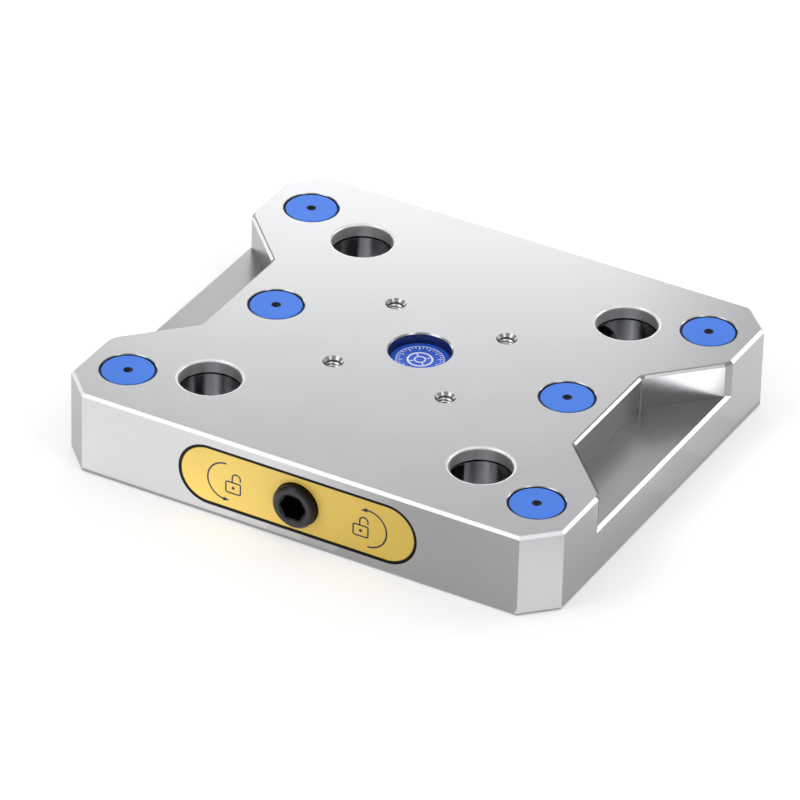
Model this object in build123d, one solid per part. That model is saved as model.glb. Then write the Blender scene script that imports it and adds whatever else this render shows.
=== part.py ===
from build123d import *
import math
import os

# Zero point clamping plate with four stud bores and a wedge drive.
# Millimetres, +Z up, the drive side faces -Y, origin at the centre of the underside.

# Plate
plate_height = 28.5
corner_cut = 10.0
edge_chamfer = 0.95
underside_chamfer = 0.6
side_margin = 39.0  # stud axis to the left or right face

# Stud bores and their hardened sleeves
stud_pitch = 96.0
stud_bore = 20.0
stud_bore_round = 0.8  # rounded rim
sleeve_cover = 4.4  # top wall of the plate above each sleeve
sleeve_wall = 3.0
sleeve_relief_width = 0.6  # groove left open between each sleeve's top and the plate
sleeve_relief_height = 0.6

# Side pockets for gripping the plate
pocket_reach = 20.2
pocket_depth = 12.0
pocket_floor_width = 44.8
pocket_mouth_width = 86.9
pocket_corner_radius = 2.5
pocket_mouth_chamfer = 1.7

# Mounting screw holes under the caps
mount_offset_x = 24.25  # from the stud axis to a corner screw
mount_offset_y = 9.25
mid_mount_margin = 14.6  # from a middle screw to the pocket wall
mount_clearance_bore = 11.0
mount_head_bore = 18.1
mount_head_depth = 10.0
mount_head_chamfer = 0.25

# Cover caps and their sealing rings
cap_height = 4.3
cap_sink = 0.15
cap_clearance = 0.1
cap_land_step = 0.45  # the top land is this much smaller in radius
cap_land_height = 0.9
cap_pull_bore = 2.5
cap_pull_chamfer = 0.3
cap_hollow_bore = 12.0
cap_hollow_depth = 1.4
cap_ring_section = 1.3
cap_ring_squeeze = 0.05  # gap left between the ring and the bore wall
cap_groove_play = 0.15

# Tapped holes and centre bore in the top face
tapped_pitch = 40.0
tapped_core = 5.0
tapped_chamfer = 0.9
tapped_depth = 15.0
centre_bore = 20.0
centre_bore_chamfer = 0.5
centre_bore_depth = 3.4  # to the shoulder round the medallion
medallion_seat = 19.6
medallion_sink = 0.1  # below the shoulder
medallion_thickness = 2.6
medallion_clearance = 0.05
medallion_edge = 0.15

# Spindle
head_diameter = 14.6
head_stand_out = 3.0
head_chamfer = 0.9
socket_width = 8.0
socket_depth = 6.5
socket_lead = 0.6
collar_diameter = 18.0
collar_thickness = 2.0
front_thread = 14.0
rear_thread = 12.0
thread_end_chamfer = 1.0
thread_core_depth = 1.6
journal_diameter = 9.0
journal_length = 5.2
shaft_clearance = 0.05  # radial running clearance
collar_bore_clearance = 0.2
washer_thickness = 0.6
washer_clearance = 0.1  # radial, wider than the spindle runs in its plates
axial_play = 0.05
bush_wall = 2.0
bush_end_gap = 0.5
tunnel_clearance = 0.5

# Wedges
wedge_angle = 20.0
wedge_length = 24.0
wedge_mid_half_width = 18.5
wedge_travel = 11.0
wedge_corner_radius = 1.5
wedge_end_gap = 0.75
wedge_side_gap = 1.1
chamber_corner_radius = 3.0
chamber_roof = 4.9
slot_neck_depth = 2.0
slot_neck_height = 6.0
slot_head_depth = 2.5
slot_head_height = 11.0
sliding_gap = 0.1

# Clamping slides
channel_roof = 5.2  # top face down to the top of each slide window
front_channel_width = 10.6
rear_channel_width = 14.0
slide_head_width = 10.4
nose_set_back = 1.0  # open slides stand this far behind the bore wall
nose_length = 10.0
nose_bottom = 4.0  # above the chamber floor
front_nose_width = 8.8
front_nose_height = 8.5
rear_nose_width = 9.6
nose_bevel = 3.0

# Bottom covers
cover_thickness = 3.8
cover_sink = 0.2
cover_lip_x = 2.5  # beyond the sleeves
cover_lip_y = 4.5  # beyond the chamber
cover_fit = 0.1
cover_corner_radius = 4.0
cover_screw_inset = 4.5
cover_screw_gap = 5.5  # chamber wall to the inner screws

# Countersunk screws
screw_diameter = 4.0
screw_head = 7.5
screw_head_rim = 0.3
screw_hole_clearance = 0.05
screw_socket = 2.5
screw_socket_depth = 1.2
screw_tip_chamfer = 0.5
screw_web = 2.0  # steel between the cover screws and the bearing plate screws above them
bearing_screw_length = 10.0
bearing_screw_offset = 27.5

# Front plate, gasket, bearing plate and spindle seal
front_recess_length = 84.2
front_recess_height = 21.2
front_recess_depth = 2.2
gasket_width = 1.0
gasket_sink = 0.1
front_plate_bore_gap = 0.3
front_plate_edge = 0.25
bearing_plate_length = 68.0
bearing_plate_height = 19.0
bearing_plate_thickness = 3.0
bearing_plate_fit = 0.1
thrust_wall = 2.25
seal_section = 1.2
seal_gap = 0.08

# Sizes that follow from the driving dimensions
stud_x = stud_pitch / 2
stud_y = stud_pitch / 2
spindle_z = plate_height / 2
tan_wedge = math.tan(math.radians(wedge_angle))
cos_wedge = math.cos(math.radians(wedge_angle))
chamber_length = wedge_length + wedge_travel + 2 * wedge_end_gap
wedge_wide_half = wedge_mid_half_width + wedge_length / 2 * tan_wedge
chamber_half_width = wedge_wide_half + wedge_side_gap
thrust_stack = 2 * washer_thickness + collar_thickness + 2 * axial_play
front_stack = front_recess_depth + bearing_plate_thickness + thrust_stack + thrust_wall
plate_length = stud_pitch + 2 * side_margin
plate_depth = stud_pitch + chamber_length + 2 * front_stack

floor_z = cover_thickness + cover_sink
chamber_top = plate_height - chamber_roof
channel_top = plate_height - channel_roof
sleeve_top = plate_height - sleeve_cover
sleeve_outer = stud_bore + 2 * sleeve_wall
slot_z = (floor_z + channel_top) / 2
pocket_floor_z = plate_height - pocket_depth
pocket_wall_x = plate_length / 2 - pocket_reach

mount_x = stud_x + mount_offset_x
mount_y = stud_y + mount_offset_y
mid_mount_x = pocket_wall_x - mid_mount_margin
mount_points = [(sx * mount_x, sy * mount_y) for sx in (-1, 1) for sy in (-1, 1)]
mount_points += [(sx * mid_mount_x, 0.0) for sx in (-1, 1)]
mount_head_floor = plate_height - cap_sink - cap_height - mount_head_depth

front_face = -plate_depth / 2
recess_floor = front_face + front_recess_depth
bearing_back = recess_floor + bearing_plate_thickness
thrust_floor = bearing_back + thrust_stack
chamber_near = stud_y - chamber_length / 2
chamber_far = stud_y + chamber_length / 2
collar_front = bearing_back + washer_thickness + axial_play
collar_back = collar_front + collar_thickness
wedge_rest_y = -(stud_y + wedge_travel / 2)

cover_half_x = stud_x + sleeve_outer / 2 + cover_lip_x
cover_near = chamber_near - cover_lip_y
cover_far = chamber_far + cover_lip_y
cover_screw_x = [cover_half_x - cover_screw_inset, chamber_half_width + cover_screw_gap]
cover_screw_y = [cover_near + cover_screw_inset, cover_far - cover_screw_inset]
cover_screw_length = spindle_z - screw_diameter / 2 - screw_web - cover_sink

low = (Align.CENTER, Align.CENTER, Align.MIN)
same_place = 0.01  # edges are picked by their centre to this closeness


def near(value, target):
    """True where a coordinate is the wanted one."""
    return abs(value - target) < same_place


def upright(diameter, z_low, z_high, x=0.0, y=0.0):
    """Upright cylinder between two heights."""
    return Pos(x, y, z_low) * Cylinder(diameter / 2, z_high - z_low, align=low)


def along_y(diameter, y_low, y_high, x=0.0, z=spindle_z):
    """Cylinder along the drive direction between two depths."""
    return Pos(x, y_low, z) * Rot(-90, 0, 0) * Cylinder(diameter / 2, y_high - y_low, align=low)


def block(x_range, y_range, z_range):
    """Box between pairs of coordinates."""
    size = [high - low_end for low_end, high in (x_range, y_range, z_range)]
    corner = (Align.MIN, Align.MIN, Align.MIN)
    return Pos(x_range[0], y_range[0], z_range[0]) * Box(*size, align=corner)


def plan(points, z_low, z_high):
    """Prism with a plan outline between two heights."""
    return Pos(0, 0, z_low) * extrude(make_face(Polyline(*points, close=True)), amount=z_high - z_low)


def stadium(length, height, y_low, y_high):
    """Round-ended block on the spindle axis, seen from the front."""
    face = Plane(origin=(0, y_low, spindle_z), x_dir=(1, 0, 0), z_dir=(0, 1, 0))
    return extrude(face * SlotOverall(length, height), amount=y_high - y_low)


def flip_x(shape):
    """The same piece on the other side, left to right."""
    return mirror(shape, about=Plane.YZ)


def flip_y(shape):
    """The same piece at the other end, front to rear."""
    return mirror(shape, about=Plane.XZ)


def countersunk_screw(length):
    """Countersunk socket screw along +Z with its head face at z = 0."""
    cone = (screw_head - screw_diameter) / 2
    rim = Cylinder(screw_head / 2, screw_head_rim, align=low)
    head = Pos(0, 0, screw_head_rim) * Cone(screw_head / 2, screw_diameter / 2, cone, align=low)
    shank = Cylinder(screw_diameter / 2, length, align=low)
    shank = chamfer(shank.edges().sort_by(Axis.Z)[-1], screw_tip_chamfer)
    socket = extrude(RegularPolygon(screw_socket / 2, 6, major_radius=False), amount=screw_socket_depth)
    return rim + head + shank - socket


def countersunk_hole(depth):
    """Room for a countersunk screw, along +Z from the face at z = 0."""
    gap = screw_hole_clearance
    wide = screw_head / 2 + gap
    narrow = screw_diameter / 2 + gap
    rim = Cylinder(wide, screw_head_rim + gap, align=low)
    seat = Pos(0, 0, screw_head_rim + gap) * Cone(wide, narrow, wide - narrow, align=low)
    return rim + seat + Cylinder(narrow, depth, align=low)


def plate_blank():
    """Plate outline with cut corners, side pockets and chamfered edges."""
    outline = Rectangle(plate_length, plate_depth)
    outline = chamfer(outline.vertices(), corner_cut)
    blank = extrude(outline, amount=plate_height)
    half_floor = pocket_floor_width / 2
    half_mouth = pocket_mouth_width / 2
    side = plate_length / 2
    slope = (half_mouth - half_floor) / pocket_reach
    run_out = half_mouth + slope * edge_chamfer
    pocket = plan(
        [
            (pocket_wall_x, -half_floor),
            (side + edge_chamfer, -run_out),
            (side + edge_chamfer, run_out),
            (pocket_wall_x, half_floor),
        ],
        pocket_floor_z,
        plate_height + edge_chamfer,
    )
    inner = pocket.edges().filter_by(Axis.Z).group_by(Axis.X)[0]
    pocket = fillet(inner, pocket_corner_radius)
    blank = blank - pocket - flip_x(pocket)

    mouth = blank.edges().filter_by(Axis.Z).filter_by(
        lambda e: near(abs(e.center().X), side) and near(abs(e.center().Y), half_mouth)
    )
    blank = chamfer(mouth, pocket_mouth_chamfer)
    top = blank.faces().sort_by(Axis.Z)[-1].edges()
    sill = blank.edges().filter_by(Axis.Y).filter_by(
        lambda e: near(abs(e.center().X), side) and near(e.center().Z, pocket_floor_z)
    )
    blank = chamfer(top + sill, edge_chamfer)
    under = blank.faces().sort_by(Axis.Z)[0].edges()
    return chamfer(under, underside_chamfer)


def rim_chamfer(bore, size, x=0.0, y=0.0):
    """Room for the chamfer round a bore in the top face."""
    return Pos(x, y, plate_height - size) * Cone(bore / 2, bore / 2 + size, size, align=low)


def slide_channel(rear):
    """Room for the right-hand slide of one row, drawn on the front row."""
    inner_x = chamber_half_width - sliding_gap
    if rear:
        return round_top_prism(rear_channel_width, inner_x, stud_x, floor_z, channel_top)
    half = front_channel_width / 2
    return block((inner_x, stud_x), (-stud_y - half, -stud_y + half), (floor_z, channel_top))


def round_top_prism(width, x_low, x_high, z_low, z_high):
    """Bar along X on the front stud row with a half-round top."""
    radius = width / 2
    centre_z = z_high - radius
    lower = block((x_low, x_high), (-stud_y - radius, -stud_y + radius), (z_low, centre_z))
    bar = Pos(x_low, -stud_y, centre_z) * Rot(0, 90, 0) * Cylinder(radius, x_high - x_low, align=low)
    return lower + bar


def base_body():
    """The plate itself with every bore, chamber and recess."""
    body = plate_blank()

    for sx in (-1, 1):
        for sy in (-1, 1):
            x, y = sx * stud_x, sy * stud_y
            body -= upright(stud_bore, 0, plate_height, x, y)
    rims = body.edges().filter_by(GeomType.CIRCLE).group_by(Axis.Z)[-1]
    body = fillet(rims, stud_bore_round)
    for sx in (-1, 1):
        for sy in (-1, 1):
            body -= upright(sleeve_outer, 0, sleeve_top, sx * stud_x, sy * stud_y)

    for x, y in mount_points:
        body -= upright(mount_clearance_bore, 0, plate_height, x, y)
        body -= upright(mount_head_bore, mount_head_floor, plate_height, x, y)
        body -= rim_chamfer(mount_head_bore, mount_head_chamfer, x, y)

    for sx in (-1, 1):
        for sy in (-1, 1):
            x, y = sx * tapped_pitch / 2, sy * tapped_pitch / 2
            body -= upright(tapped_core, plate_height - tapped_depth, plate_height, x, y)
            body -= rim_chamfer(tapped_core, tapped_chamfer, x, y)

    shoulder_z = plate_height - centre_bore_depth
    body -= upright(centre_bore, shoulder_z, plate_height)
    body -= upright(medallion_seat, shoulder_z - medallion_sink - medallion_thickness, plate_height)
    body -= rim_chamfer(centre_bore, centre_bore_chamfer)

    chamber = block(
        (-chamber_half_width, chamber_half_width),
        (-chamber_far, -chamber_near),
        (0, chamber_top),
    )
    chamber = fillet(chamber.edges().filter_by(Axis.Z), chamber_corner_radius)
    cover_room = cover_outline(0, 0, floor_z)
    body -= chamber + cover_room
    body -= flip_y(chamber + cover_room)
    for rear in (False, True):
        channel = slide_channel(rear)
        pair = channel + flip_x(channel)
        body -= flip_y(pair) if rear else pair

    screw_bore = screw_diameter + 2 * screw_hole_clearance
    for x, y in cover_screw_points():
        body -= upright(screw_bore, 0, cover_sink + cover_screw_length, x, y)
        body -= upright(screw_bore, 0, cover_sink + cover_screw_length, x, -y)

    body -= stadium(front_recess_length, front_recess_height, front_face, recess_floor)
    body -= stadium(bearing_plate_length, bearing_plate_height, recess_floor, bearing_back)
    collar_room = collar_diameter + 2 * collar_bore_clearance
    body -= along_y(collar_room, bearing_back, thrust_floor)
    body -= along_y(front_thread + 2 * tunnel_clearance, thrust_floor, -chamber_far)
    body -= along_y(rear_thread + 2 * tunnel_clearance, -chamber_near, chamber_near)
    bush_outer = journal_diameter + 2 * shaft_clearance + 2 * bush_wall
    body -= along_y(bush_outer, chamber_far, chamber_far + journal_length + bush_end_gap)
    for sx in (-1, 1):
        x = sx * bearing_screw_offset
        body -= along_y(screw_bore, recess_floor, recess_floor + bearing_screw_length, x)
    return body


def cover_outline(shrink, z_low, z_high):
    """Front cover shape, smaller all round by a fit gap."""
    plate = block(
        (-cover_half_x + shrink, cover_half_x - shrink),
        (-cover_far + shrink, -cover_near - shrink),
        (z_low, z_high),
    )
    return fillet(plate.edges().filter_by(Axis.Z), cover_corner_radius - shrink)


def cover_screw_points():
    """Screw places of the rear cover; the front ones are their mirror image."""
    return [(sx * x, y) for x in cover_screw_x for sx in (-1, 1) for y in cover_screw_y]


def bottom_cover():
    """Front bottom cover with countersunk screw holes."""
    cover = cover_outline(cover_fit, cover_sink, floor_z)
    for x, y in cover_screw_points():
        cover -= Pos(x, -y, cover_sink) * countersunk_hole(cover_thickness)
    return cover


def cover_screws():
    """Screws of the front bottom cover."""
    screw = countersunk_screw(cover_screw_length)
    return [Pos(x, -y, cover_sink) * screw for x, y in cover_screw_points()]


def clamping_sleeve(rear):
    """Right-hand hardened sleeve of one row, with its slide window towards the middle."""
    x, y = stud_x, -stud_y
    sleeve = upright(sleeve_outer, floor_z, sleeve_top, x, y)
    sleeve -= upright(stud_bore, floor_z, sleeve_top, x, y)
    relief = stud_bore + 2 * sleeve_relief_width
    sleeve -= upright(relief, sleeve_top - sleeve_relief_height, sleeve_top, x, y)
    return sleeve - slide_channel(rear)


def flank_x(y, depth):
    """X of a line that lies a depth inside the right flank of the resting front wedge."""
    return wedge_mid_half_width - (y - wedge_rest_y) * tan_wedge - depth / cos_wedge


def flank_strip(y_low, y_high, depth_out, depth_in):
    """Plan outline between two depths inside the right wedge flank."""
    return [
        (flank_x(y_low, depth_out), y_low),
        (flank_x(y_high, depth_out), y_high),
        (flank_x(y_high, depth_in), y_high),
        (flank_x(y_low, depth_in), y_low),
    ]


def wedge(bore):
    """Front wedge at rest, with a T-slot along each flank."""
    y_low = wedge_rest_y - wedge_length / 2
    y_high = wedge_rest_y + wedge_length / 2
    z_low = floor_z + sliding_gap
    z_high = chamber_top - sliding_gap
    outline = [
        (-flank_x(y_low, 0), y_low),
        (flank_x(y_low, 0), y_low),
        (flank_x(y_high, 0), y_high),
        (-flank_x(y_high, 0), y_high),
    ]
    body = plan(outline, z_low, z_high)
    body = fillet(body.edges().filter_by(Axis.Z), wedge_corner_radius)
    over = wedge_corner_radius
    neck = plan(
        flank_strip(y_low - over, y_high + over, -over, slot_neck_depth),
        slot_z - slot_neck_height / 2,
        slot_z + slot_neck_height / 2,
    )
    head = plan(
        flank_strip(y_low - over, y_high + over, slot_neck_depth, slot_neck_depth + slot_head_depth),
        slot_z - slot_head_height / 2,
        slot_z + slot_head_height / 2,
    )
    body -= neck + head
    body -= flip_x(neck + head)
    return body - along_y(bore, y_low - over, y_high + over)


def clamping_slide(rear):
    """Right-hand slide of one row at rest, drawn on the front row."""
    gap = sliding_gap
    z_low = floor_z + gap
    z_high = channel_top - gap
    width = (rear_channel_width if rear else front_channel_width) - 2 * gap
    nose_x = stud_x - stud_bore / 2 - nose_set_back
    shoulder_x = nose_x - nose_length
    y_low = -stud_y - width / 2
    y_high = -stud_y + width / 2
    outline = [
        (flank_x(y_low, -gap), y_low),
        (shoulder_x, y_low),
        (shoulder_x, y_high),
        (flank_x(y_high, -gap), y_high),
    ]
    body = plan(outline, z_low, z_high)
    if rear:
        body = body & round_top_prism(width, 0, stud_x, z_low, z_high)

    tail_low = -stud_y - slide_head_width / 2
    tail_high = -stud_y + slide_head_width / 2
    neck_half = slot_neck_height / 2 - gap
    head_half = slot_head_height / 2 - gap
    head_out = slot_neck_depth + gap
    head_in = slot_neck_depth + slot_head_depth - gap
    body += plan(flank_strip(tail_low, tail_high, -gap, head_out), slot_z - neck_half, slot_z + neck_half)
    body += plan(flank_strip(tail_low, tail_high, head_out, head_in), slot_z - head_half, slot_z + head_half)

    nose_z = floor_z + nose_bottom
    if rear:
        crown = (rear_channel_width - rear_nose_width) / 2
        nose = round_top_prism(rear_nose_width, shoulder_x, stud_x, nose_z, channel_top - crown)
    else:
        half = front_nose_width / 2
        nose_y = (-stud_y - half, -stud_y + half)
        nose = block((shoulder_x, stud_x), nose_y, (nose_z, nose_z + front_nose_height))
    nose -= upright(stud_bore + 2 * nose_set_back, 0, plate_height, stud_x, -stud_y)
    bevel = make_face(
        Polyline((nose_x - nose_bevel, nose_z), (stud_x, nose_z), (stud_x, nose_z + nose_bevel),
                 (nose_x, nose_z + nose_bevel), close=True)
    )
    nose -= Pos(0, -stud_y, 0) * extrude(Plane.XZ * bevel, amount=width, both=True)
    return body + nose


def turned(stations):
    """Solid turned about the spindle axis from (y, diameter) stations."""
    points = [(0, stations[0][0])]
    points += [(diameter / 2, y) for y, diameter in stations]
    points += [(0, stations[-1][0])]
    return Pos(0, 0, spindle_z) * revolve(make_face(Polyline(*points, close=True)), Axis.Y)


def spindle():
    """Spindle with socket head, thrust collar, left-hand and right-hand thread and end journal."""
    head_front = front_face - head_stand_out
    front_end = -chamber_near
    rear_start = chamber_near
    rear_end = chamber_far
    cut = thread_end_chamfer
    core = front_thread - 2 * thread_core_depth
    shank = min(core, rear_thread)
    rear_core = rear_thread - 2 * thread_core_depth
    journal_end = rear_end + journal_length
    stations = [
        (head_front, head_diameter - 2 * head_chamfer),
        (head_front + head_chamfer, head_diameter),
        (collar_front, head_diameter),
        (collar_front, collar_diameter),
        (collar_back, collar_diameter),
        (collar_back, front_thread),
        (front_end - cut, front_thread),
        (front_end, front_thread - 2 * cut),
        (front_end, shank),
        (rear_start, shank),
        (rear_start, rear_thread - 2 * cut),
        (rear_start + cut, rear_thread),
        (rear_end - cut, rear_thread),
        (rear_end - cut, journal_diameter),
        (journal_end - cut / 2, journal_diameter),
        (journal_end, journal_diameter - cut),
    ]
    shaft = turned(stations)
    face = Plane(origin=(0, head_front, spindle_z), x_dir=(1, 0, 0), z_dir=(0, 1, 0))
    socket = extrude(face * RegularPolygon(socket_width / 2, 6, major_radius=False), amount=socket_depth)
    across = socket_width / math.cos(math.pi / 6)
    lead = turned([(head_front, across + socket_lead), (head_front + socket_lead, across - socket_lead)])
    return shaft - socket - lead


def thrust_washer(bore, y_low):
    """Flat bronze ring on the spindle axis."""
    ring = along_y(collar_diameter, y_low, y_low + washer_thickness)
    return ring - along_y(bore, y_low, y_low + washer_thickness)


def rear_bush():
    """Bronze bush in the rear wall that carries the end journal."""
    bore = journal_diameter + 2 * shaft_clearance
    end = chamber_far + journal_length
    return along_y(bore + 2 * bush_wall, chamber_far, end) - along_y(bore, chamber_far, end)


def seal_room():
    """Diameter and depth of the seal groove in the bearing plate."""
    return head_diameter + 2 * seal_gap + 2 * seal_section, seal_section


def bearing_plate():
    """Plate behind the front plate that holds the spindle collar in."""
    length = bearing_plate_length - 2 * bearing_plate_fit
    height = bearing_plate_height - 2 * bearing_plate_fit
    plate = stadium(length, height, recess_floor, bearing_back)
    plate -= along_y(head_diameter + 2 * shaft_clearance, recess_floor, bearing_back)
    groove, depth = seal_room()
    plate -= along_y(groove, recess_floor, recess_floor + depth)
    for sx in (-1, 1):
        hole = Rot(-90, 0, 0) * countersunk_hole(bearing_plate_thickness)
        plate -= Pos(sx * bearing_screw_offset, recess_floor, spindle_z) * hole
    return plate


def bearing_screws():
    """Two countersunk screws of the bearing plate."""
    screw = Rot(-90, 0, 0) * countersunk_screw(bearing_screw_length - screw_hole_clearance)
    return [Pos(sx * bearing_screw_offset, recess_floor, spindle_z) * screw for sx in (-1, 1)]


def spindle_seal():
    """Sealing ring round the spindle head."""
    centre = head_diameter / 2 + seal_gap + seal_section / 2
    ring = Torus(centre, seal_section / 2)
    return Pos(0, recess_floor + seal_section / 2, spindle_z) * Rot(90, 0, 0) * ring


def front_gasket():
    """Black gasket in the gap between the front recess and the front plate."""
    y_low = front_face + gasket_sink
    inner = 2 * gasket_width
    ring = stadium(front_recess_length, front_recess_height, y_low, recess_floor)
    return ring - stadium(front_recess_length - inner, front_recess_height - inner, y_low, recess_floor)


def front_plate():
    """Round-ended front plate, flush with the front face."""
    inner = 2 * gasket_width
    plate = stadium(front_recess_length - inner, front_recess_height - inner, front_face, recess_floor)
    plate = chamfer(plate.faces().sort_by(Axis.Y)[0].edges(), front_plate_edge)
    return plate - along_y(head_diameter + 2 * front_plate_bore_gap, front_face, recess_floor)


def cover_cap(x, y):
    """Cover cap over a mounting screw, with a pull-out bore and a ring groove."""
    top = plate_height - cap_sink
    bottom = top - cap_height
    outer = mount_head_bore - 2 * cap_clearance
    cap = upright(outer, bottom, top - cap_land_height)
    cap += upright(outer - 2 * cap_land_step, bottom, top)
    cap = chamfer(cap.edges().sort_by(Axis.Z)[-1], cap_pull_chamfer)
    groove_z, groove_height, groove_bore = cap_groove()
    room = upright(outer, groove_z - groove_height / 2, groove_z + groove_height / 2)
    cap -= room - upright(groove_bore, groove_z - groove_height / 2, groove_z + groove_height / 2)
    cap -= upright(cap_pull_bore, bottom, top)
    rim = Cone(cap_pull_bore / 2, cap_pull_bore / 2 + cap_pull_chamfer, cap_pull_chamfer, align=low)
    cap -= Pos(0, 0, top - cap_pull_chamfer) * rim
    cap -= upright(cap_hollow_bore, bottom, bottom + cap_hollow_depth)
    return Pos(x, y, 0) * cap


def cap_groove():
    """Middle height, height and inner diameter of the sealing ring groove."""
    middle = plate_height - cap_sink - (cap_height + cap_land_height) / 2
    height = cap_ring_section + 2 * cap_groove_play
    bore = mount_head_bore - 2 * cap_ring_squeeze - 2 * cap_ring_section
    return middle, height, bore


def cap_ring(x, y):
    """Sealing ring in the groove of a cover cap."""
    centre = mount_head_bore / 2 - cap_ring_squeeze - cap_ring_section / 2
    return Pos(x, y, cap_groove()[0]) * Torus(centre, cap_ring_section / 2)


def centre_medallion():
    """Plain disc in its seat at the bottom of the centre bore."""
    top = plate_height - centre_bore_depth - medallion_sink
    disc = upright(medallion_seat - 2 * medallion_clearance, top - medallion_thickness, top)
    return chamfer(disc.edges().sort_by(Axis.Z)[-1], medallion_edge)


def save(name, shape):
    """One STEP file for each piece or group of equal pieces."""
    if isinstance(shape, list):
        shape = Compound(children=[Solid(part.solid().wrapped) for part in shape])
    export_step(shape, f"parts/{name}.step")


def main():
    os.makedirs("parts", exist_ok=True)
    save("base_body", base_body())

    cover = bottom_cover()
    screws = cover_screws()
    save("bottom_cover_front", cover)
    save("bottom_cover_rear", flip_y(cover))
    save("cover_screws_front", screws)
    save("cover_screws_rear", [flip_y(screw) for screw in screws])

    for row, rear in (("front", False), ("rear", True)):
        sleeve = clamping_sleeve(rear)
        slide = clamping_slide(rear)
        if rear:
            sleeve, slide = flip_y(sleeve), flip_y(slide)
        save(f"clamping_sleeve_{row}_right", sleeve)
        save(f"clamping_sleeve_{row}_left", flip_x(sleeve))
        save(f"clamping_slide_{row}_right", slide)
        save(f"clamping_slide_{row}_left", flip_x(slide))

    save("wedge_front", wedge(front_thread + 2 * shaft_clearance))
    save("wedge_rear", flip_y(wedge(rear_thread + 2 * shaft_clearance)))
    save("spindle", spindle())
    save("thrust_washer_front", thrust_washer(head_diameter + 2 * washer_clearance, bearing_back))
    back = thrust_floor - washer_thickness
    save("thrust_washer_rear", thrust_washer(front_thread + 2 * washer_clearance, back))
    save("rear_bush", rear_bush())
    save("bearing_plate", bearing_plate())
    save("bearing_plate_screws", bearing_screws())
    save("spindle_seal", spindle_seal())
    save("front_gasket", front_gasket())
    save("front_plate", front_plate())
    save("centre_medallion", centre_medallion())

    places = {
        "front_left": (-mount_x, -mount_y),
        "front_right": (mount_x, -mount_y),
        "rear_left": (-mount_x, mount_y),
        "rear_right": (mount_x, mount_y),
        "mid_left": (-mid_mount_x, 0.0),
        "mid_right": (mid_mount_x, 0.0),
    }
    for place, (x, y) in places.items():
        save(f"cover_cap_{place}", cover_cap(x, y))
        save(f"cap_ring_{place}", cap_ring(x, y))


main()
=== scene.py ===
import math

import bmesh
import bpy
from mathutils import Matrix, Vector


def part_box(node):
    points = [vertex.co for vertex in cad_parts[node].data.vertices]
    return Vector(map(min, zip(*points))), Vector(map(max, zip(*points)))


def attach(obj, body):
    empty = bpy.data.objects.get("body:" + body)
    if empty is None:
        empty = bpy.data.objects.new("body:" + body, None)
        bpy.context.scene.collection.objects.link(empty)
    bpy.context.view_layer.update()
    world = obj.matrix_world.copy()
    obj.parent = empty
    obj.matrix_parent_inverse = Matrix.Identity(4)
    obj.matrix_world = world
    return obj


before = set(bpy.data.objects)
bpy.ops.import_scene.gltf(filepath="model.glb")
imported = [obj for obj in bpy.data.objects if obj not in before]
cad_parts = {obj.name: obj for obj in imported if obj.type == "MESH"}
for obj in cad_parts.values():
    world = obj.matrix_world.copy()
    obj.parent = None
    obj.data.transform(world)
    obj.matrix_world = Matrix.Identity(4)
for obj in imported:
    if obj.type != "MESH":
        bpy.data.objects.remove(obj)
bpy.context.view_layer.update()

# Metres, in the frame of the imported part: +Z up, the drive side faces -Y.
MM = 0.001

# Camera, worked out from the plate's edges in the photograph: metres, degrees, and millimetres of lens
CAMERA_PLACE = Vector((0.83298, -1.55261, 1.13866))
CAMERA_TURN = 28.406
CAMERA_DOWN = 32.650
CAMERA_ROLL = 1.586
CAMERA_LENS = 299.2
CAMERA_SENSOR = 36.0
CAMERA_CLIP = (0.05, 50)

# The room's brightness: from one upward share of the view direction to another, from one level to another
ROOM_FALL = (0.1, 0.7, 0.60, 0.66)

# Soft lamps: name, place, target, size across and up, radiance
LAMPS = [
    ("key_front_left", (-0.44, -0.60, 0.84), (0, 0, 0.0285), (0.52, 0.52), 2.9),
    ("back_left", (-0.41, 0.72, 0.40), (-0.06, 0.10, 0.0285), (0.30, 0.20), 2.35),
    ("back_middle", (-0.12, 0.66, 0.35), (0, 0.10, 0.0285), (0.26, 0.20), 0.25),
    ("back_right", (0.42, 0.38, 0.18), (0.08, 0.02, 0.0285), (0.26, 0.16), 5.1),
    ("back_low", (-0.50, 0.80, 0.10), (0, 0, 0.0285), (0.55, 0.12), 3.25),
    ("side_left", (-0.92, 0.18, 0.26), (0, 0, 0.0285), (0.3, 0.2), 3.0),
    ("side_right", (0.60, -0.24, 0.88), (0, 0, 0.0285), (0.3, 0.3), 3.2),
]

# Soft panels that lie round the plate and face up: name, middle, size along X and Y, radiance
PANELS = [
    ("panel_front", (-0.069, -0.11375), (0.092, 0.0725), 1.16),
    ("panel_front_second", (-0.017, -0.11375), (0.012, 0.0725), 0.92),
    ("panel_front_third", (-0.005, -0.11375), (0.012, 0.0725), 0.58),
    ("panel_front_last", (0.007, -0.11375), (0.012, 0.0725), 0.26),
    ("panel_corner", (0.1015, -0.084), (0.051, 0.036), 0.82),
    ("panel_side", (0.120, 0.012), (0.026, 0.032), 3.7),
    ("panel_side_near", (0.0975, 0.0175), (0.019, 0.025), 0.10),
    ("panel_side_middle", (0.0975, 0.0425), (0.019, 0.025), 0.20),
    ("panel_side_back", (0.102, 0.090), (0.028, 0.070), 0.33),
]
PANEL_HEIGHT = 1 * MM
FACING_UP = (0, 1, 0, 0)

# Floor; its white glow would alone be white at 1
FLOOR_HALF = 4.0
FLOOR_DROP = 0.02 * MM
FLOOR_PALE = (0.8, 0.8, 0.8)
FLOOR_ROUGH = 0.9
FLOOR_SPECULAR = 0.2
FLOOR_GLOW = 0.33

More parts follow.
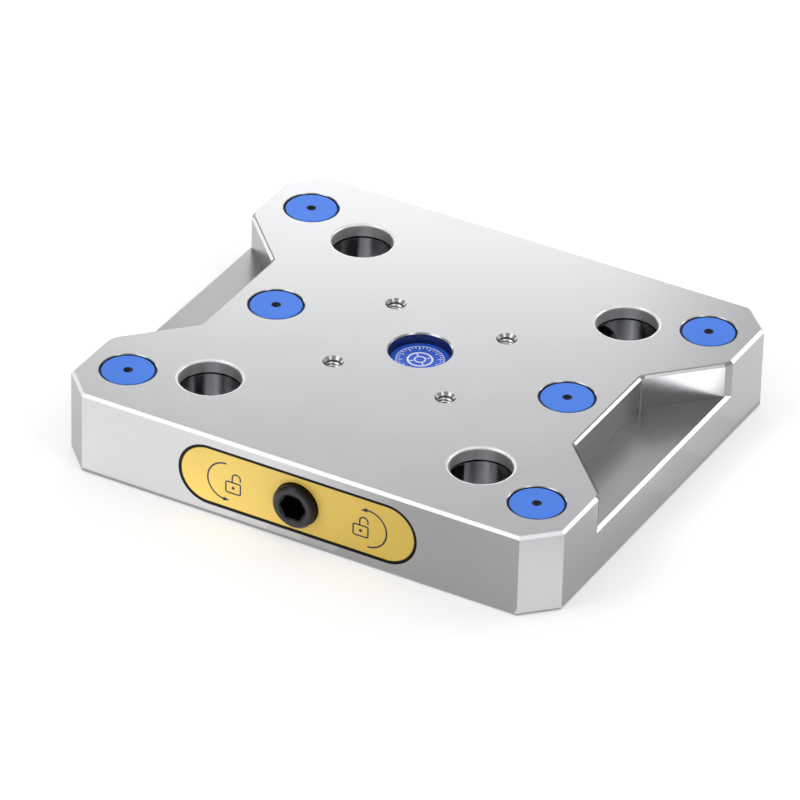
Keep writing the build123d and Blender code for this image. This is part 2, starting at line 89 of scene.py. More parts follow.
# Places of the part that the finishes and the added pieces follow
TOP_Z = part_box("base_body")[1].z
FRONT_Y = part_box("front_plate")[0].y
MEDALLION_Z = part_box("centre_medallion")[1].z
SLEEVE_TOP_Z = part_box("clamping_sleeve_front_left")[1].z
spindle_low, spindle_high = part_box("spindle")
HEAD_Y = spindle_low.y
SPINDLE_Z = (spindle_low.z + spindle_high.z) / 2

# Stud bores in the top face; the centre bore is as wide
STUD_OFFSET = 48 * MM
STUD_BORE = 10 * MM
STUD_RIM = 0.82 * MM
SLEEVE_RELIEF = 0.62 * MM

# Tapped holes in the top face
TAPPED_OFFSET = 20 * MM
TAPPED_CORE = 2.5 * MM
TAPPED_CHAMFER = 0.9 * MM
TAPPED_DEPTH = 15 * MM
TAPPED_PITCH = 1 * MM
TAPPED_STEPS = 28

# Pull threads in the caps
CAP_LAND = 8.5 * MM
CAP_PULL_CORE = 1.25 * MM
CAP_PULL_PITCH = 0.5 * MM
CAP_PULL_CHAMFER = 0.3 * MM
CAP_PULL_START = 1.5 * MM
CAP_PULL_STEPS = 20
CAP_PLACES = ["front_left", "front_right", "rear_left", "rear_right", "mid_left", "mid_right"]

# Thread ridges, as shares of the pitch: height, half width at root and crest; how deep the root is let in
RIDGE_HEIGHT = 0.42
RIDGE_ROOT = 0.44
RIDGE_CREST = 0.08
RIDGE_THINNEST = 0.02
RIDGE_LET_IN = 0.02 * MM

# Marks on the front plate and on the medallion
MARK_PROUD = 0.03 * MM
MARK_SINK = 0.05 * MM
ARROW_RADIUS = 6.55 * MM
ARROW_OFFSET = 25.0 * MM
ARROW_DROP = 0.35 * MM
ARROW_TURNS = {-1: 192.0, 1: 203.0}
ARROW_LINE = 0.55 * MM
ARROW_HEAD = 2.2 * MM
ARROW_BARB = 0.36 * ARROW_HEAD
ARROW_OVERLAP = 1.05
ARROW_STEPS = 40
LOCK_OFFSET = 22.5 * MM
LOCK_DROP = 1.9 * MM
LOCK_LINE = 0.5 * MM
LOCK_WIDTH = 5.2 * MM
LOCK_HEIGHT = 3.9 * MM
LOCK_CORNER = 0.6 * MM
LOCK_CORNER_STEPS = 5
LOCK_KEYHOLE = 0.55 * MM
KEYHOLE_POINTS = 12
BOW_RADIUS = 1.45 * MM
BOW_ASIDE = 1.1 * MM
BOW_RISE = 1.7 * MM
BOW_OPEN_END = 0.75 * MM
BOW_STEPS = 14
CENTRING_RINGS = [(3.9 * MM, 0.6 * MM), (1.7 * MM, 0.45 * MM), (7.6 * MM, 0.25 * MM)]
RING_POINTS = 48
CENTRING_CROSS = (2.2 * MM, 3.4 * MM)
CROSS_LINE = 0.45 * MM
DIVISION_TURN = 10
DIVISION_LONG_TURN = 30
DIVISION_LINE = 0.3 * MM
DIVISION_LONG = 5.6 * MM
DIVISION_SHORT = 6.4 * MM
DIVISION_END = 7.2 * MM

# Greys of the steels, and the share of dark and light in their clouds
PLATE_GREY = 0.34
# The top's lighter grey against the sides' grey is painted light, for how the light falls on them
TOP_PAINTED_LIGHT_GREY = 0.47
COVER_GREY = 0.5
SLEEVE_GREY = 0.85
THREAD_GREY = 0.62
GROUND_CLOUDS = (0.94, 1.05)
TOP_CLOUDS = (0.965, 1.03)
HONED_CLOUDS = (0.85, 1.12)
STEEL_BLUE = (1, 1.008, 1.03)

# Shares of metal in finishes that are partly coat
CAP_METAL = 0.3
MEDALLION_METAL = 0.2
OXIDE_METAL = 0.85
SCREW_METAL = 0.9

# Roughness; a pair is the range that the texture spreads it over
PLATE_ROUGH = 0.25
MILLED_ROUGH = 0.34
RIM_ROUGH = 0.5
BORE_ROUGH = 0.4
COVER_ROUGH = 0.33
SLIDE_ROUGH = 0.28
THREAD_ROUGH = 0.3
TURNED_ROUGH = 0.35
BRONZE_ROUGH = 0.3
BLUE_ROUGH = 0.45
PAINT_ROUGH = 0.42
INK_BLUE_ROUGH = 0.6
INK_WHITE_ROUGH = 0.5
SLEEVE_ROUGH = (0.17, 0.25)
OXIDE_ROUGH = (0.3, 0.48)
RUBBER_ROUGH = (0.5, 0.7)

# How far a texture spreads a single roughness, down and up
GROUND_SPREAD = (-0.015, 0.02)
TURNED_SPREAD = (-0.04, 0.05)
PAINT_SPREAD = (-0.04, 0.06)

# Colours
# Painted highlight on the stud bore rims
RIM_PAINTED_HIGHLIGHT = (0.92, 0.92, 0.93)
# Painted light on the stud bore walls
BORE_PAINTED_LIGHT = (0.95, 0.95, 0.96)
# Painted shade, a little blue, on the wall of the bore round the medallion
CENTRE_PAINTED_SHADE = (0.075, 0.095, 0.17)
# Painted shade in the sleeves' relief groove
GROOVE_PAINTED_SHADE = (0.01, 0.01, 0.011)
CAP_BLUE = (0.042, 0.20, 0.80)
# Painted shade in the caps' seal gaps and pull bores
CAP_PAINTED_SHADE = (0.006, 0.008, 0.014)
MEDALLION_BLUE = (0.02, 0.115, 0.70)
FRONT_YELLOW = (0.78, 0.54, 0.092)
OXIDE_BLACK = (0.012, 0.0125, 0.014)
OXIDE_WORN = (0.035, 0.036, 0.04)
SCREW_BLACK = (0.03, 0.031, 0.034)
BRONZE = (0.6, 0.4, 0.19)
RUBBER_DARK = (0.004, 0.004, 0.005)
RUBBER_LIGHT = (0.011, 0.011, 0.012)
INK_BLUE = (0.006, 0.014, 0.04)
INK_WHITE = (0.9, 0.91, 0.97)
# Painted shade on the pull threads inside the caps
CAP_THREAD_PAINTED_SHADE = (0.02, 0.025, 0.05)
TURNED_SHADES = (0.93, 1.06)
PAINT_SHADES = (0.95, 1.04)
RUBBER_SPECULAR = 0.1

# Textures: the middle of a noise that is spread out, the stretch of the gloss, sizes of cells and reliefs
NOISE_BAND = (0.3, 0.7)
PAINT_BAND = (0.35, 0.65)
GLOSS_STRETCH = 0.4
GROUND_LINE = 0.25 * MM
GROUND_RUN = 18 * MM
GROUND_CLOUD = 30 * MM
GROUND_LINE_SHARE = 0.45
CUT_LINE = 0.1 * MM
CUT_RUN = 1 * MM
GROUND_RELIEF = 0.0007 * MM
HONED_RINGS = (9 * MM, 9 * MM, 0.15 * MM)
HONED_CLOUD = (4 * MM, 4 * MM, 30 * MM)
HONED_CLOUD_SHARE = 0.6
HONED_RELIEF = 0.001 * MM
TURNED_LINE = 0.12 * MM
TURNED_CLOUD = 8 * MM
TURNED_CLOUD_SHARE = 0.5
TURNED_RELIEF = 0.002 * MM
PAINT_DRIFT = 25 * MM
PAINT_GRAIN = 0.25 * MM
PAINT_GRAIN_SHARE = 0.35
CAP_THREAD_GRAIN = 0.1 * MM
PAINT_RELIEF = 0.002 * MM
RUBBER_GRAIN = 0.2 * MM
RUBBER_RELIEF = 0.01 * MM
OXIDE_SPECKLE = 0.8 * MM
OXIDE_RELIEF = 0.004 * MM

# Where a finish changes: how squarely a face looks along an axis, and distances from the part's edges
FACE_SHARE = 0.8
LEVEL_SHARE = 0.9
TOP_LAYER = 2 * MM
WALL_MARGIN = 0.05 * MM
LAND_MARGIN = 0.06 * MM
PULL_MARGIN = 0.02 * MM
WEAR_DEPTH = (0.05 * MM, 0.9 * MM)
WEAR_RADIUS = (4.2 * MM, 4.6 * MM)
WEAR_SPECKLE = (0.75, 1)


class Finish:
    """A surface finish built from procedural nodes round one principled shader."""

    def __init__(self, name, colour, metallic=0.0, roughness=0.5):
        self.material = bpy.data.materials.new(name)
        self.material.use_nodes = True
        self.tree = self.material.node_tree
        self.shader = self.tree.nodes["Principled BSDF"]
        self.shader.inputs["Base Color"].default_value = (*colour, 1)
        self.shader.inputs["Metallic"].default_value = metallic
        self.shader.inputs["Roughness"].default_value = roughness
        self.coordinates = self.tree.nodes.new("ShaderNodeTexCoord")
        self.place = self.coordinates.outputs["Object"]
        self.normal = self.coordinates.outputs["Normal"]

    def add(self, kind, values=(), **settings):
        """A node with its settings, and a number, colour or link for each named input."""
        node = self.tree.nodes.new(kind)
        for key, value in settings.items():
            setattr(node, key, value)
        for key, value in dict(values).items():
            self.feed(node.inputs[key], value)
        return node

    def feed(self, socket, value):
        if isinstance(value, bpy.types.NodeSocket):
            self.tree.links.new(value, socket)
        else:
            socket.default_value = value

    def set(self, key, value):
        self.feed(self.shader.inputs[key], value)

    def math(self, operation, first, second=0.0):
        node = self.add("ShaderNodeMath", {0: first, 1: second}, operation=operation)
        return node.outputs[0]

    def split(self, vector):
        node = self.add("ShaderNodeSeparateXYZ", {0: vector})
        return [node.outputs[i] for i in range(3)]

    def join(self, x=0.0, y=0.0, z=0.0):
        return self.add("ShaderNodeCombineXYZ", {0: x, 1: y, 2: z}).outputs[0]

    def noise(self, cell, detail=2.0, vector=None):
        """Noise from 0 to 1; cell is the size of its features, one number or one each along X, Y and Z."""
        sizes = cell if isinstance(cell, tuple) else (cell, cell, cell)
        scale = [1 / size for size in sizes]
        source = self.place if vector is None else vector
        mapping = self.add("ShaderNodeMapping", {"Vector": source, "Scale": scale})
        values = {"Vector": mapping.outputs[0], "Scale": 1.0, "Detail": detail}
        return self.add("ShaderNodeTexNoise", values).outputs["Fac"]

    def spread(self, value, low, high, band=NOISE_BAND, smooth=False):
        """Maps a band of a value to low..high, and holds it there outside."""
        kind = "SMOOTHSTEP" if smooth else "LINEAR"
        inputs = {"Value": value, "From Min": band[0], "From Max": band[1], "To Min": low, "To Max": high}
        return self.add("ShaderNodeMapRange", inputs, interpolation_type=kind).outputs[0]

    def mix(self, factor, first, second):
        """Blend of two numbers or links."""
        return self.add("ShaderNodeMix", {0: factor, 2: first, 3: second}, data_type="FLOAT").outputs[0]

    def tint(self, factor, first, second):
        """Blend of two colours; a colour is three numbers or a link."""
        colours = [(*c, 1) if isinstance(c, tuple) else c for c in (first, second)]
        values = {0: factor, 6: colours[0], 7: colours[1]}
        return self.add("ShaderNodeMix", values, data_type="RGBA").outputs[2]

    def relief(self, height, depth):
        values = {"Height": height, "Distance": depth, "Strength": 1.0}
        self.set("Normal", self.add("ShaderNodeBump", values).outputs[0])

    def radius(self, first, second):
        """Distance from an axis, from the two offsets across it."""
        squares = self.math("ADD", self.math("POWER", first, 2.0), self.math("POWER", second, 2.0))
        return self.math("SQRT", squares)

    def stretch(self):
        """Gloss that runs across the tool marks: along Y on flat faces, up and down on walls."""
        upward = self.math("ABSOLUTE", self.split(self.normal)[2])
        flat = self.math("GREATER_THAN", upward, FACE_SHARE)
        self.set("Anisotropic", GLOSS_STRETCH)
        self.set("Tangent", self.join(y=flat, z=self.math("SUBTRACT", 1.0, flat)))


def grey_pair(tone, clouds):
    """A darker and a lighter steel grey, a little towards blue."""
    return tuple(tuple(tone * share * channel for channel in STEEL_BLUE) for share in clouds)


def shade_pair(colour, shades):
    """A darker and a lighter shade of a colour."""
    return tuple(tuple(min(channel * share, 1) for channel in colour) for share in shades)


def ground_steel(name, tone, roughness, fine=GROUND_LINE, run=GROUND_RUN):
    """Fine ground steel: faint lines along each face and a slightly cloudy tone."""
    steel = Finish(name, (tone, tone, tone), metallic=1.0)
    across = steel.math("ABSOLUTE", steel.split(steel.normal)[0])
    x_face = steel.math("GREATER_THAN", across, FACE_SHARE)
    along_x = steel.noise((run, fine, fine))
    along_y = steel.noise((fine, run, fine))
    lines = steel.mix(x_face, along_x, along_y)
    shade = steel.mix(GROUND_LINE_SHARE, steel.noise(GROUND_CLOUD, detail=3), lines)
    steel.blend = steel.spread(shade, 0, 1)
    steel.colour = steel.tint(steel.blend, *grey_pair(tone, GROUND_CLOUDS))
    steel.roughness = steel.spread(shade, *[roughness + change for change in GROUND_SPREAD])
    steel.set("Base Color", steel.colour)
    steel.set("Roughness", steel.roughness)
    steel.relief(lines, GROUND_RELIEF)
    steel.stretch()
    return steel


def plate_steel():
    """Steel of the plate: ground top painted lighter than the milled sides, as painted light; reamed stud
    bores with painted light on their walls and a painted highlight on their rims; painted shade, a little
    blue, in the bore round the medallion.
    """
    steel = ground_steel("ground_plate_steel", PLATE_GREY, PLATE_ROUGH)
    x, y, z = steel.split(steel.place)
    upward = steel.math("GREATER_THAN", steel.split(steel.normal)[2], LEVEL_SHARE)
    high = steel.math("GREATER_THAN", z, TOP_Z - TOP_LAYER)
    top = steel.math("MULTIPLY", upward, high)
    milled = steel.math("SUBTRACT", upward, top)
    across = [steel.math("SUBTRACT", steel.math("ABSOLUTE", value), STUD_OFFSET) for value in (x, y)]
    from_stud = steel.radius(*across)
    bore = steel.math("LESS_THAN", from_stud, STUD_BORE + WALL_MARGIN)
    rim = steel.math("LESS_THAN", from_stud, STUD_BORE + STUD_RIM)
    centre = steel.math("LESS_THAN", steel.radius(x, y), STUD_BORE + WALL_MARGIN)
    # Painted light: the top gets a lighter grey than the sides
    ground = steel.tint(steel.blend, *grey_pair(TOP_PAINTED_LIGHT_GREY, TOP_CLOUDS))
    colour = steel.tint(top, steel.colour, ground)
    # Painted highlight on the stud bore rims
    colour = steel.tint(rim, colour, RIM_PAINTED_HIGHLIGHT)
    # Painted light on the stud bore walls
    colour = steel.tint(bore, colour, BORE_PAINTED_LIGHT)
    # Painted shade, a little blue, in the bore round the medallion
    steel.set("Base Color", steel.tint(centre, colour, CENTRE_PAINTED_SHADE))
    roughness = steel.mix(rim, steel.mix(milled, steel.roughness, MILLED_ROUGH), RIM_ROUGH)
    steel.set("Roughness", steel.mix(bore, roughness, BORE_ROUGH))
    return steel.material


def honed_steel():
    """Hardened sleeve wall: honing marks that wind round it, and painted shade in the relief groove at its
    top.
    """
    steel = Finish("honed_sleeve_steel", (SLEEVE_GREY, SLEEVE_GREY, SLEEVE_GREY), metallic=1.0)
    # Painted shade in the relief groove at the sleeve's top
    groove = steel.math("GREATER_THAN", steel.split(steel.place)[2], SLEEVE_TOP_Z - SLEEVE_RELIEF)
    rings = steel.noise(HONED_RINGS)
    shade = steel.mix(HONED_CLOUD_SHARE, rings, steel.noise(HONED_CLOUD))
    colour = steel.tint(steel.spread(shade, 0, 1), *grey_pair(SLEEVE_GREY, HONED_CLOUDS))
    steel.set("Base Color", steel.tint(groove, colour, GROOVE_PAINTED_SHADE))
    steel.set("Roughness", steel.spread(shade, *SLEEVE_ROUGH))
    steel.relief(rings, HONED_RELIEF)
    steel.stretch()
    return steel.material


def turned_metal(name, colour, centre, axis=2, metallic=1.0, roughness=TURNED_ROUGH):
    """Turned or faced metal: fine rings round an axis through a centre."""
    metal = Finish(name, colour, metallic=metallic)
    parts = metal.split(metal.place)
    sideways = [metal.math("SUBTRACT", parts[i], centre[i]) for i in range(3) if i != axis]
    metal.across = metal.radius(*sideways)
    rings = metal.noise(TURNED_LINE, detail=1, vector=metal.join(x=metal.across))
    shade = metal.mix(TURNED_CLOUD_SHARE, rings, metal.noise(TURNED_CLOUD))
    metal.colour = metal.tint(metal.spread(shade, 0, 1), *shade_pair(colour, TURNED_SHADES))
    metal.set("Base Color", metal.colour)
    metal.set("Roughness", metal.spread(shade, *[roughness + change for change in TURNED_SPREAD]))
    metal.relief(rings, TURNED_RELIEF)
    return metal


def anodised_cap(node):
    """Blue anodised cap, with painted shade in black in its seal gap and in its pull bore."""
    low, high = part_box(node)
    middle = (low + high) / 2
    cap = turned_metal(f"blue_{node}", CAP_BLUE, middle, metallic=CAP_METAL, roughness=BLUE_ROUGH)
    # Painted shade: black on the cap wall in the seal gap round the land and in the pull bore
    black = cap.math("GREATER_THAN", cap.across, CAP_LAND - LAND_MARGIN)
    hole = cap.math("LESS_THAN", cap.across, CAP_PULL_CORE + CAP_PULL_CHAMFER + PULL_MARGIN)
    shaded = cap.math("MAXIMUM", black, hole)
    cap.set("Base Color", cap.tint(shaded, cap.colour, CAP_PAINTED_SHADE))
    return cap.material


def black_oxide():
    """Blackened spindle steel, a little worn to grey on the end face and round the socket."""
    oxide = Finish("black_oxide_spindle", OXIDE_BLACK, metallic=OXIDE_METAL)
    x, y, z = oxide.split(oxide.place)
    radius = oxide.radius(x, oxide.math("SUBTRACT", z, SPINDLE_Z))
    depth = oxide.math("SUBTRACT", y, HEAD_Y)
    face = oxide.spread(depth, 1, 0, WEAR_DEPTH, smooth=True)
    outside_socket = oxide.spread(radius, 0, 1, WEAR_RADIUS, smooth=True)
    speckle = oxide.noise(OXIDE_SPECKLE, detail=4)
    worn = oxide.math("MULTIPLY", face, outside_socket)
    worn = oxide.math("MULTIPLY", worn, oxide.spread(speckle, *WEAR_SPECKLE))
    oxide.set("Base Color", oxide.tint(worn, OXIDE_BLACK, OXIDE_WORN))
    oxide.set("Roughness", oxide.spread(speckle, *OXIDE_ROUGH))
    oxide.relief(speckle, OXIDE_RELIEF)
    return oxide.material


def satin_paint(name, colour, roughness=PAINT_ROUGH, grain=PAINT_GRAIN):
    """Smooth satin coat with a very fine grain and a faint drift in tone."""
    coat = Finish(name, colour)
    drift = coat.noise(PAINT_DRIFT)
    fine = coat.noise(grain, detail=1)
    blend = coat.spread(coat.mix(PAINT_GRAIN_SHARE, drift, fine), 0, 1, PAINT_BAND)
    coat.set("Base Color", coat.tint(blend, *shade_pair(colour, PAINT_SHADES)))
    coat.set("Roughness", coat.spread(fine, *[roughness + change for change in PAINT_SPREAD]))
    coat.relief(fine, PAINT_RELIEF)
    return coat.material


def rubber():
    """Matt black sealing rubber."""
    black = Finish("seal_rubber", RUBBER_DARK)
    grain = black.noise(RUBBER_GRAIN)
    black.set("Base Color", black.tint(grain, RUBBER_DARK, RUBBER_LIGHT))
    black.set("Roughness", black.spread(grain, *RUBBER_ROUGH, band=(0, 1)))
    black.relief(grain, RUBBER_RELIEF)
    black.set("Specular IOR Level", RUBBER_SPECULAR)
    return black.material


def dress(node, material):
    """Gives a CAD node its finish."""
    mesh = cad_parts[node].data
    mesh.materials.clear()
    mesh.materials.append(material)


class Solid:
    """Collects closed prisms and sweeps into one mesh, in metres."""

    def __init__(self):
        self.points = []
        self.faces = []

    def sweep(self, sections, closed=False):
        """Joins like cross-sections, each a ring of points, into one closed body."""
        start = len(self.points)
        count = len(sections[0])
        for section in sections:
            self.points += section
        rows = len(sections)
        for i in range(rows if closed else rows - 1):
            for j in range(count):
                a = start + i * count + j
                b = start + i * count + (j + 1) % count
                c = start + (i + 1) % rows * count + (j + 1) % count
                d = start + (i + 1) % rows * count + j
                self.faces.append((a, b, c, d))
        if not closed:
            self.faces.append(tuple(start + j for j in reversed(range(count))))
            self.faces.append(tuple(start + (rows - 1) * count + j for j in range(count)))

    def piece(self, name, material, body):
        """One flat-shaded object that rides on a body."""
        mesh = bpy.data.meshes.new(name)
        mesh.from_pydata([tuple(p) for p in self.points], [], self.faces)
        work = bmesh.new()
        work.from_mesh(mesh)
        bmesh.ops.recalc_face_normals(work, faces=work.faces)
        work.to_mesh(mesh)
        work.free()
        mesh.materials.append(material)
        made = bpy.data.objects.new(name, mesh)
        bpy.context.scene.collection.objects.link(made)
        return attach(made, body)


def around(centre, radius, turn):
    """Point at a turn in degrees round a centre."""
    angle = math.radians(turn)
    return centre[0] + radius * math.cos(angle), centre[1] + radius * math.sin(angle)


def arc(centre, radius, start, end, steps):
    """Points on an arc, counter-clockwise where end is larger."""
    return [around(centre, radius, start + (end - start) * i / steps) for i in range(steps + 1)]


def ring(centre, radius, count):
    """Points on a full circle, the first one not repeated."""
    return [around(centre, radius, 360 * i / count) for i in range(count)]


def rounded_box(centre, width, height, radius, steps):
    """Closed outline of a rounded rectangle."""
    points = []
    for sx, sy, start in ((1, 1, 0), (-1, 1, 90), (-1, -1, 180), (1, -1, 270)):
        corner = (centre[0] + sx * (width / 2 - radius), centre[1] + sy * (height / 2 - radius))
        points += arc(corner, radius, start, start + 90, steps)
    return points


def line_sections(path, width, surface, closed=False):
    """Rectangular sections of a line of one width that follows a path on a surface."""
    sections = []
    count = len(path)
    for i, (u, v) in enumerate(path):
        before = path[i - 1] if closed or i > 0 else path[i]
        after = path[(i + 1) % count] if closed or i < count - 1 else path[i]
        along = Vector((after[0] - before[0], after[1] - before[1])).normalized()
        side = Vector((-along.y, along.x)) * width / 2
        sections.append([
            surface(u + side.x, v + side.y, MARK_PROUD),
            surface(u - side.x, v - side.y, MARK_PROUD),
            surface(u - side.x, v - side.y, -MARK_SINK),
            surface(u + side.x, v + side.y, -MARK_SINK),
        ])
    return sections


def filled(outline, surface):
    """Two like outlines, below and above a surface, that close a flat mark."""
    return [[surface(u, v, out) for u, v in outline] for out in (-MARK_SINK, MARK_PROUD)]


def on_front(u, v, out):
    """Point on the front plate: u to the right of the spindle, v above it."""
    return Vector((u, FRONT_Y - out, SPINDLE_Z + v))


def on_medallion(u, v, out):
    """Point on the medallion's face."""
    return Vector((u, v, MEDALLION_Z + out))


def opening_arrow(side, word, ink):
    """Curved arrow that shows the opening turn, on one side of the spindle."""
    centre = (side * ARROW_OFFSET, -ARROW_DROP)
    start = -90 * side
    end = start + ARROW_TURNS[side]
    neck = math.degrees(ARROW_HEAD / ARROW_RADIUS)
    barb = end - neck * ARROW_OVERLAP
    mark = Solid()
    path = arc(centre, ARROW_RADIUS, start, end - neck, ARROW_STEPS)
    mark.sweep(line_sections(path, ARROW_LINE, on_front))
    tip = around(centre, ARROW_RADIUS, end)
    inner = around(centre, ARROW_RADIUS - ARROW_BARB, barb)
    outer = around(centre, ARROW_RADIUS + ARROW_BARB, barb)
    mark.sweep(filled([tip, inner, outer], on_front))
    return mark.piece(f"opening_arrow_{word}", ink, "housing")


def open_lock(side, word, ink):
    """Open padlock sign inside each arrow."""
    centre = (side * LOCK_OFFSET, -LOCK_DROP)
    top = centre[1] + LOCK_HEIGHT / 2
    bow = (centre[0] + BOW_ASIDE, top + BOW_RISE)
    mark = Solid()
    case = rounded_box(centre, LOCK_WIDTH, LOCK_HEIGHT, LOCK_CORNER, LOCK_CORNER_STEPS)
    mark.sweep(line_sections(case, LOCK_LINE, on_front, closed=True), closed=True)
    mark.sweep(filled(ring(centre, LOCK_KEYHOLE, KEYHOLE_POINTS), on_front))
    path = [(bow[0] - BOW_RADIUS, top)]
    path += arc(bow, BOW_RADIUS, 180, 0, BOW_STEPS)
    path += [(bow[0] + BOW_RADIUS, bow[1] - BOW_OPEN_END)]
    mark.sweep(line_sections(path, LOCK_LINE, on_front))
    return mark.piece(f"open_lock_sign_{word}", ink, "housing")


def centring_mark(ink):
    """Thin rings, a cross and a ring of divisions on the medallion."""
    middle = (0, 0)
    mark = Solid()
    for radius, width in CENTRING_RINGS:
        circle = ring(middle, radius, RING_POINTS)
        mark.sweep(line_sections(circle, width, on_medallion, closed=True), closed=True)
    for turn in (45, 135, 225, 315):
        ray = [around(middle, radius, turn) for radius in CENTRING_CROSS]
        mark.sweep(line_sections(ray, CROSS_LINE, on_medallion))
    for turn in range(0, 360, DIVISION_TURN):
        inner = DIVISION_SHORT if turn % DIVISION_LONG_TURN else DIVISION_LONG
        ray = [around(middle, radius, turn) for radius in (inner, DIVISION_END)]
        mark.sweep(line_sections(ray, DIVISION_LINE, on_medallion))
    return mark.piece("centring_mark", ink, "housing")


def inner_thread(name, centre, z_low, z_high, core, pitch, steps, material, body):
    """Helical ridge on the wall of a tapped hole, thin where it starts and ends."""
    turns = (z_high - z_low) / pitch - 1
    wall = core + RIDGE_LET_IN
    up = Vector((0, 0, pitch))
    sections = []
    count = int(turns * steps)
    for i in range(count + 1):
        angle = 2 * math.pi * i / steps
        out = Vector((math.cos(angle), math.sin(angle), 0))
        hub = Vector((centre[0], centre[1], z_low + pitch / 2 + pitch * i / steps))
        fade = min(1.0, i / steps, (count - i) / steps)
        crest = core - RIDGE_HEIGHT * pitch * max(fade, RIDGE_THINNEST)
        sections.append([
            hub + out * wall - up * RIDGE_ROOT,
            hub + out * crest - up * RIDGE_CREST,
            hub + out * crest + up * RIDGE_CREST,
            hub + out * wall + up * RIDGE_ROOT,
        ])
    solid = Solid()
    solid.sweep(sections)
    return solid.piece(name, material, body)


def softbox(name, place, turn, size, radiance):
    """Rectangular soft light; the camera doesn't see it."""
    light = bpy.data.lights.new(name, "AREA")
    light.shape = "RECTANGLE"
    light.size, light.size_y = size
    light.energy = radiance * math.pi * size[0] * size[1]
    lamp = bpy.data.objects.new(name, light)
    lamp.location = place
    lamp.rotation_mode = "QUATERNION"
    lamp.rotation_quaternion = turn
    lamp.visible_camera = False
    bpy.context.scene.collection.objects.link(lamp)


def seen_directly(finish):
    """1 for camera, glossy and transmission rays, so that gloss shows the white background too."""
    path = finish.add("ShaderNodeLightPath")
    gloss = finish.math("MAXIMUM", path.outputs["Is Camera Ray"], path.outputs["Is Glossy Ray"])
    return finish.math("MAXIMUM", gloss, path.outputs["Is Transmission Ray"])


def make_camera():
    lens = bpy.data.cameras.new("camera")
    lens.lens = CAMERA_LENS
    lens.sensor_width = CAMERA_SENSOR
    lens.clip_start, lens.clip_end = CAMERA_CLIP
    camera = bpy.data.objects.new("camera", lens)
    turn = Matrix.Rotation(math.radians(CAMERA_TURN), 4, "Z")
    down = Matrix.Rotation(math.radians(90 - CAMERA_DOWN), 4, "X")
    roll = Matrix.Rotation(math.radians(CAMERA_ROLL), 4, "Z")
    camera.matrix_world = Matrix.Translation(CAMERA_PLACE) @ turn @ down @ roll
    bpy.context.scene.collection.objects.link(camera)
    bpy.context.scene.camera = camera


def make_world():
    """A white studio room, a little brighter towards its ceiling, the same for every ray."""
    world = bpy.data.worlds.new("studio")
    world.use_nodes = True
    bpy.context.scene.world = world
    nodes, links = world.node_tree.nodes, world.node_tree.links
    direction = nodes.new("ShaderNodeTexCoord")
    split = nodes.new("ShaderNodeSeparateXYZ")
    links.new(direction.outputs["Generated"], split.inputs[0])
    fall = nodes.new("ShaderNodeMapRange")
    for key, value in zip(("From Min", "From Max", "To Min", "To Max"), ROOM_FALL):
        fall.inputs[key].default_value = value
    links.new(split.outputs[2], fall.inputs["Value"])
    room = nodes["Background"]
    room.inputs["Color"].default_value = (1, 1, 1, 1)
    links.new(fall.outputs[0], room.inputs["Strength"])


def make_floor():
    """Pale floor that shows white where it is lit and keeps the object's shadow."""
    mesh = bpy.data.meshes.new("floor")
    corners = [(x * FLOOR_HALF, y * FLOOR_HALF, 0) for x, y in ((-1, -1), (1, -1), (1, 1), (-1, 1))]
    mesh.from_pydata(corners, [], [(0, 1, 2, 3)])
    floor = bpy.data.objects.new("floor", mesh)
    floor.location.z = -FLOOR_DROP
    bpy.context.scene.collection.objects.link(floor)
    pale = Finish("floor", FLOOR_PALE, roughness=FLOOR_ROUGH)
    pale.set("Specular IOR Level", FLOOR_SPECULAR)
    pale.set("Emission Color", (1, 1, 1, 1))
    pale.set("Emission Strength", pale.math("MULTIPLY", seen_directly(pale), FLOOR_GLOW))
    mesh.materials.append(pale.material)


def make_lights():
    for name, place, target, size, radiance in LAMPS:
        turn = (Vector(place) - Vector(target)).to_track_quat("Z", "Y")
        softbox(name, place, turn, size, radiance)
    for name, (x, y), size, radiance in PANELS:
        softbox(name, (x, y, PANEL_HEIGHT), FACING_UP, size, radiance)


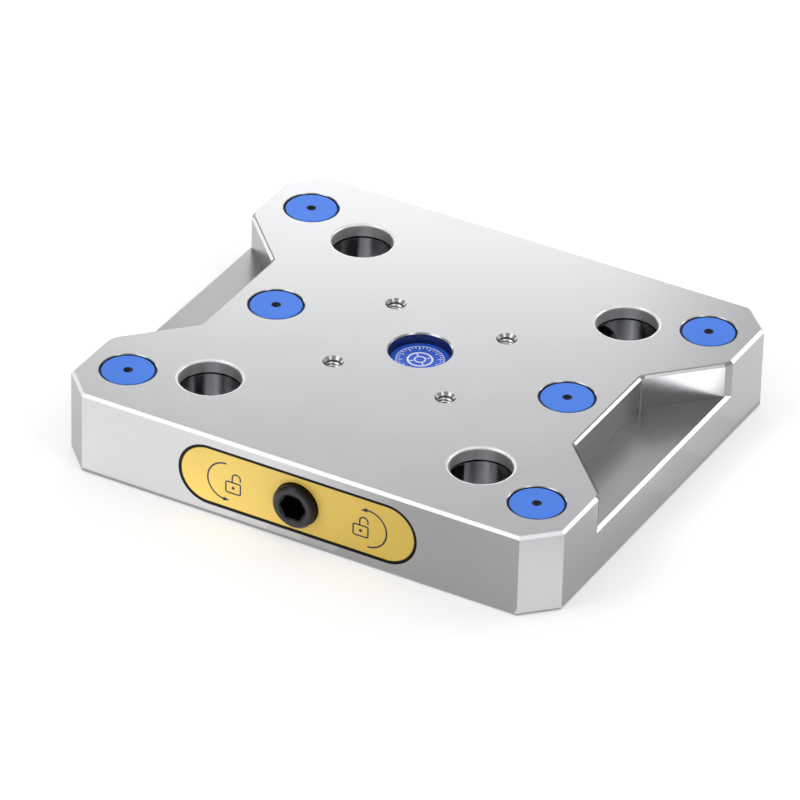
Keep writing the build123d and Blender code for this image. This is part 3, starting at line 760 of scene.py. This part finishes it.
def dress_cad_nodes():
    """A finish for each CAD node, by the start of its name; what is left is a seal."""
    middle = (0, 0, SPINDLE_Z)
    cover = ground_steel("ground_cover_steel", COVER_GREY, COVER_ROUGH).material
    slide = ground_steel("ground_slide_steel", PLATE_GREY, SLIDE_ROUGH).material
    screw = turned_metal("black_screw_steel", SCREW_BLACK, middle, metallic=SCREW_METAL).material
    bronze = turned_metal("bearing_bronze", BRONZE, middle, axis=1, roughness=BRONZE_ROUGH).material
    medallion = turned_metal(
        "blue_medallion_metal", MEDALLION_BLUE, middle, metallic=MEDALLION_METAL, roughness=BLUE_ROUGH,
    ).material
    by_start = {
        "base_body": plate_steel(),
        "front_plate": satin_paint("yellow_satin", FRONT_YELLOW),
        "spindle_seal": rubber(),
        "spindle": black_oxide(),
        "centre_medallion": medallion,
        "bearing_plate_screws": screw,
        "bearing_plate": cover,
        "bottom_cover": cover,
        "cover_screws": screw,
        "rear_bush": bronze,
        "thrust_washer": bronze,
        "clamping_sleeve": honed_steel(),
        "clamping_slide": slide,
        "wedge": slide,
    }
    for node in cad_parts:
        if node.startswith("cover_cap"):
            dress(node, anodised_cap(node))
        else:
            found = [finish for start, finish in by_start.items() if node.startswith(start)]
            dress(node, found[0] if found else by_start["spindle_seal"])


def add_details():
    ink = satin_paint("dark_blue_ink", INK_BLUE, roughness=INK_BLUE_ROUGH)
    for side, word in ((-1, "left"), (1, "right")):
        opening_arrow(side, word, ink)
        open_lock(side, word, ink)
    centring_mark(satin_paint("white_ink", INK_WHITE, roughness=INK_WHITE_ROUGH))

    thread = ground_steel("cut_thread_steel", THREAD_GREY, THREAD_ROUGH, fine=CUT_LINE, run=CUT_RUN).material
    low, high = TOP_Z - TAPPED_DEPTH, TOP_Z - TAPPED_CHAMFER
    for row, sy in (("front", -1), ("rear", 1)):
        for word, sx in (("left", -1), ("right", 1)):
            centre = (sx * TAPPED_OFFSET, sy * TAPPED_OFFSET)
            inner_thread(
                f"tapped_thread_{row}_{word}", centre, low, high,
                TAPPED_CORE, TAPPED_PITCH, TAPPED_STEPS, thread, "housing",
            )
    # Painted shade: the pull threads in the caps get a near-black coat
    thread = satin_paint("painted_shade_cap_thread", CAP_THREAD_PAINTED_SHADE, grain=CAP_THREAD_GRAIN)
    for place in CAP_PLACES:
        low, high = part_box(f"cover_cap_{place}")
        inner_thread(
            f"pull_thread_{place}", (low + high) / 2, low.z + CAP_PULL_START, high.z - CAP_PULL_CHAMFER,
            CAP_PULL_CORE, CAP_PULL_PITCH, CAP_PULL_STEPS, thread, f"cap_{place}",
        )


make_camera()
bpy.context.scene.view_settings.view_transform = "Standard"
make_world()
make_floor()
make_lights()
dress_cad_nodes()
add_details()
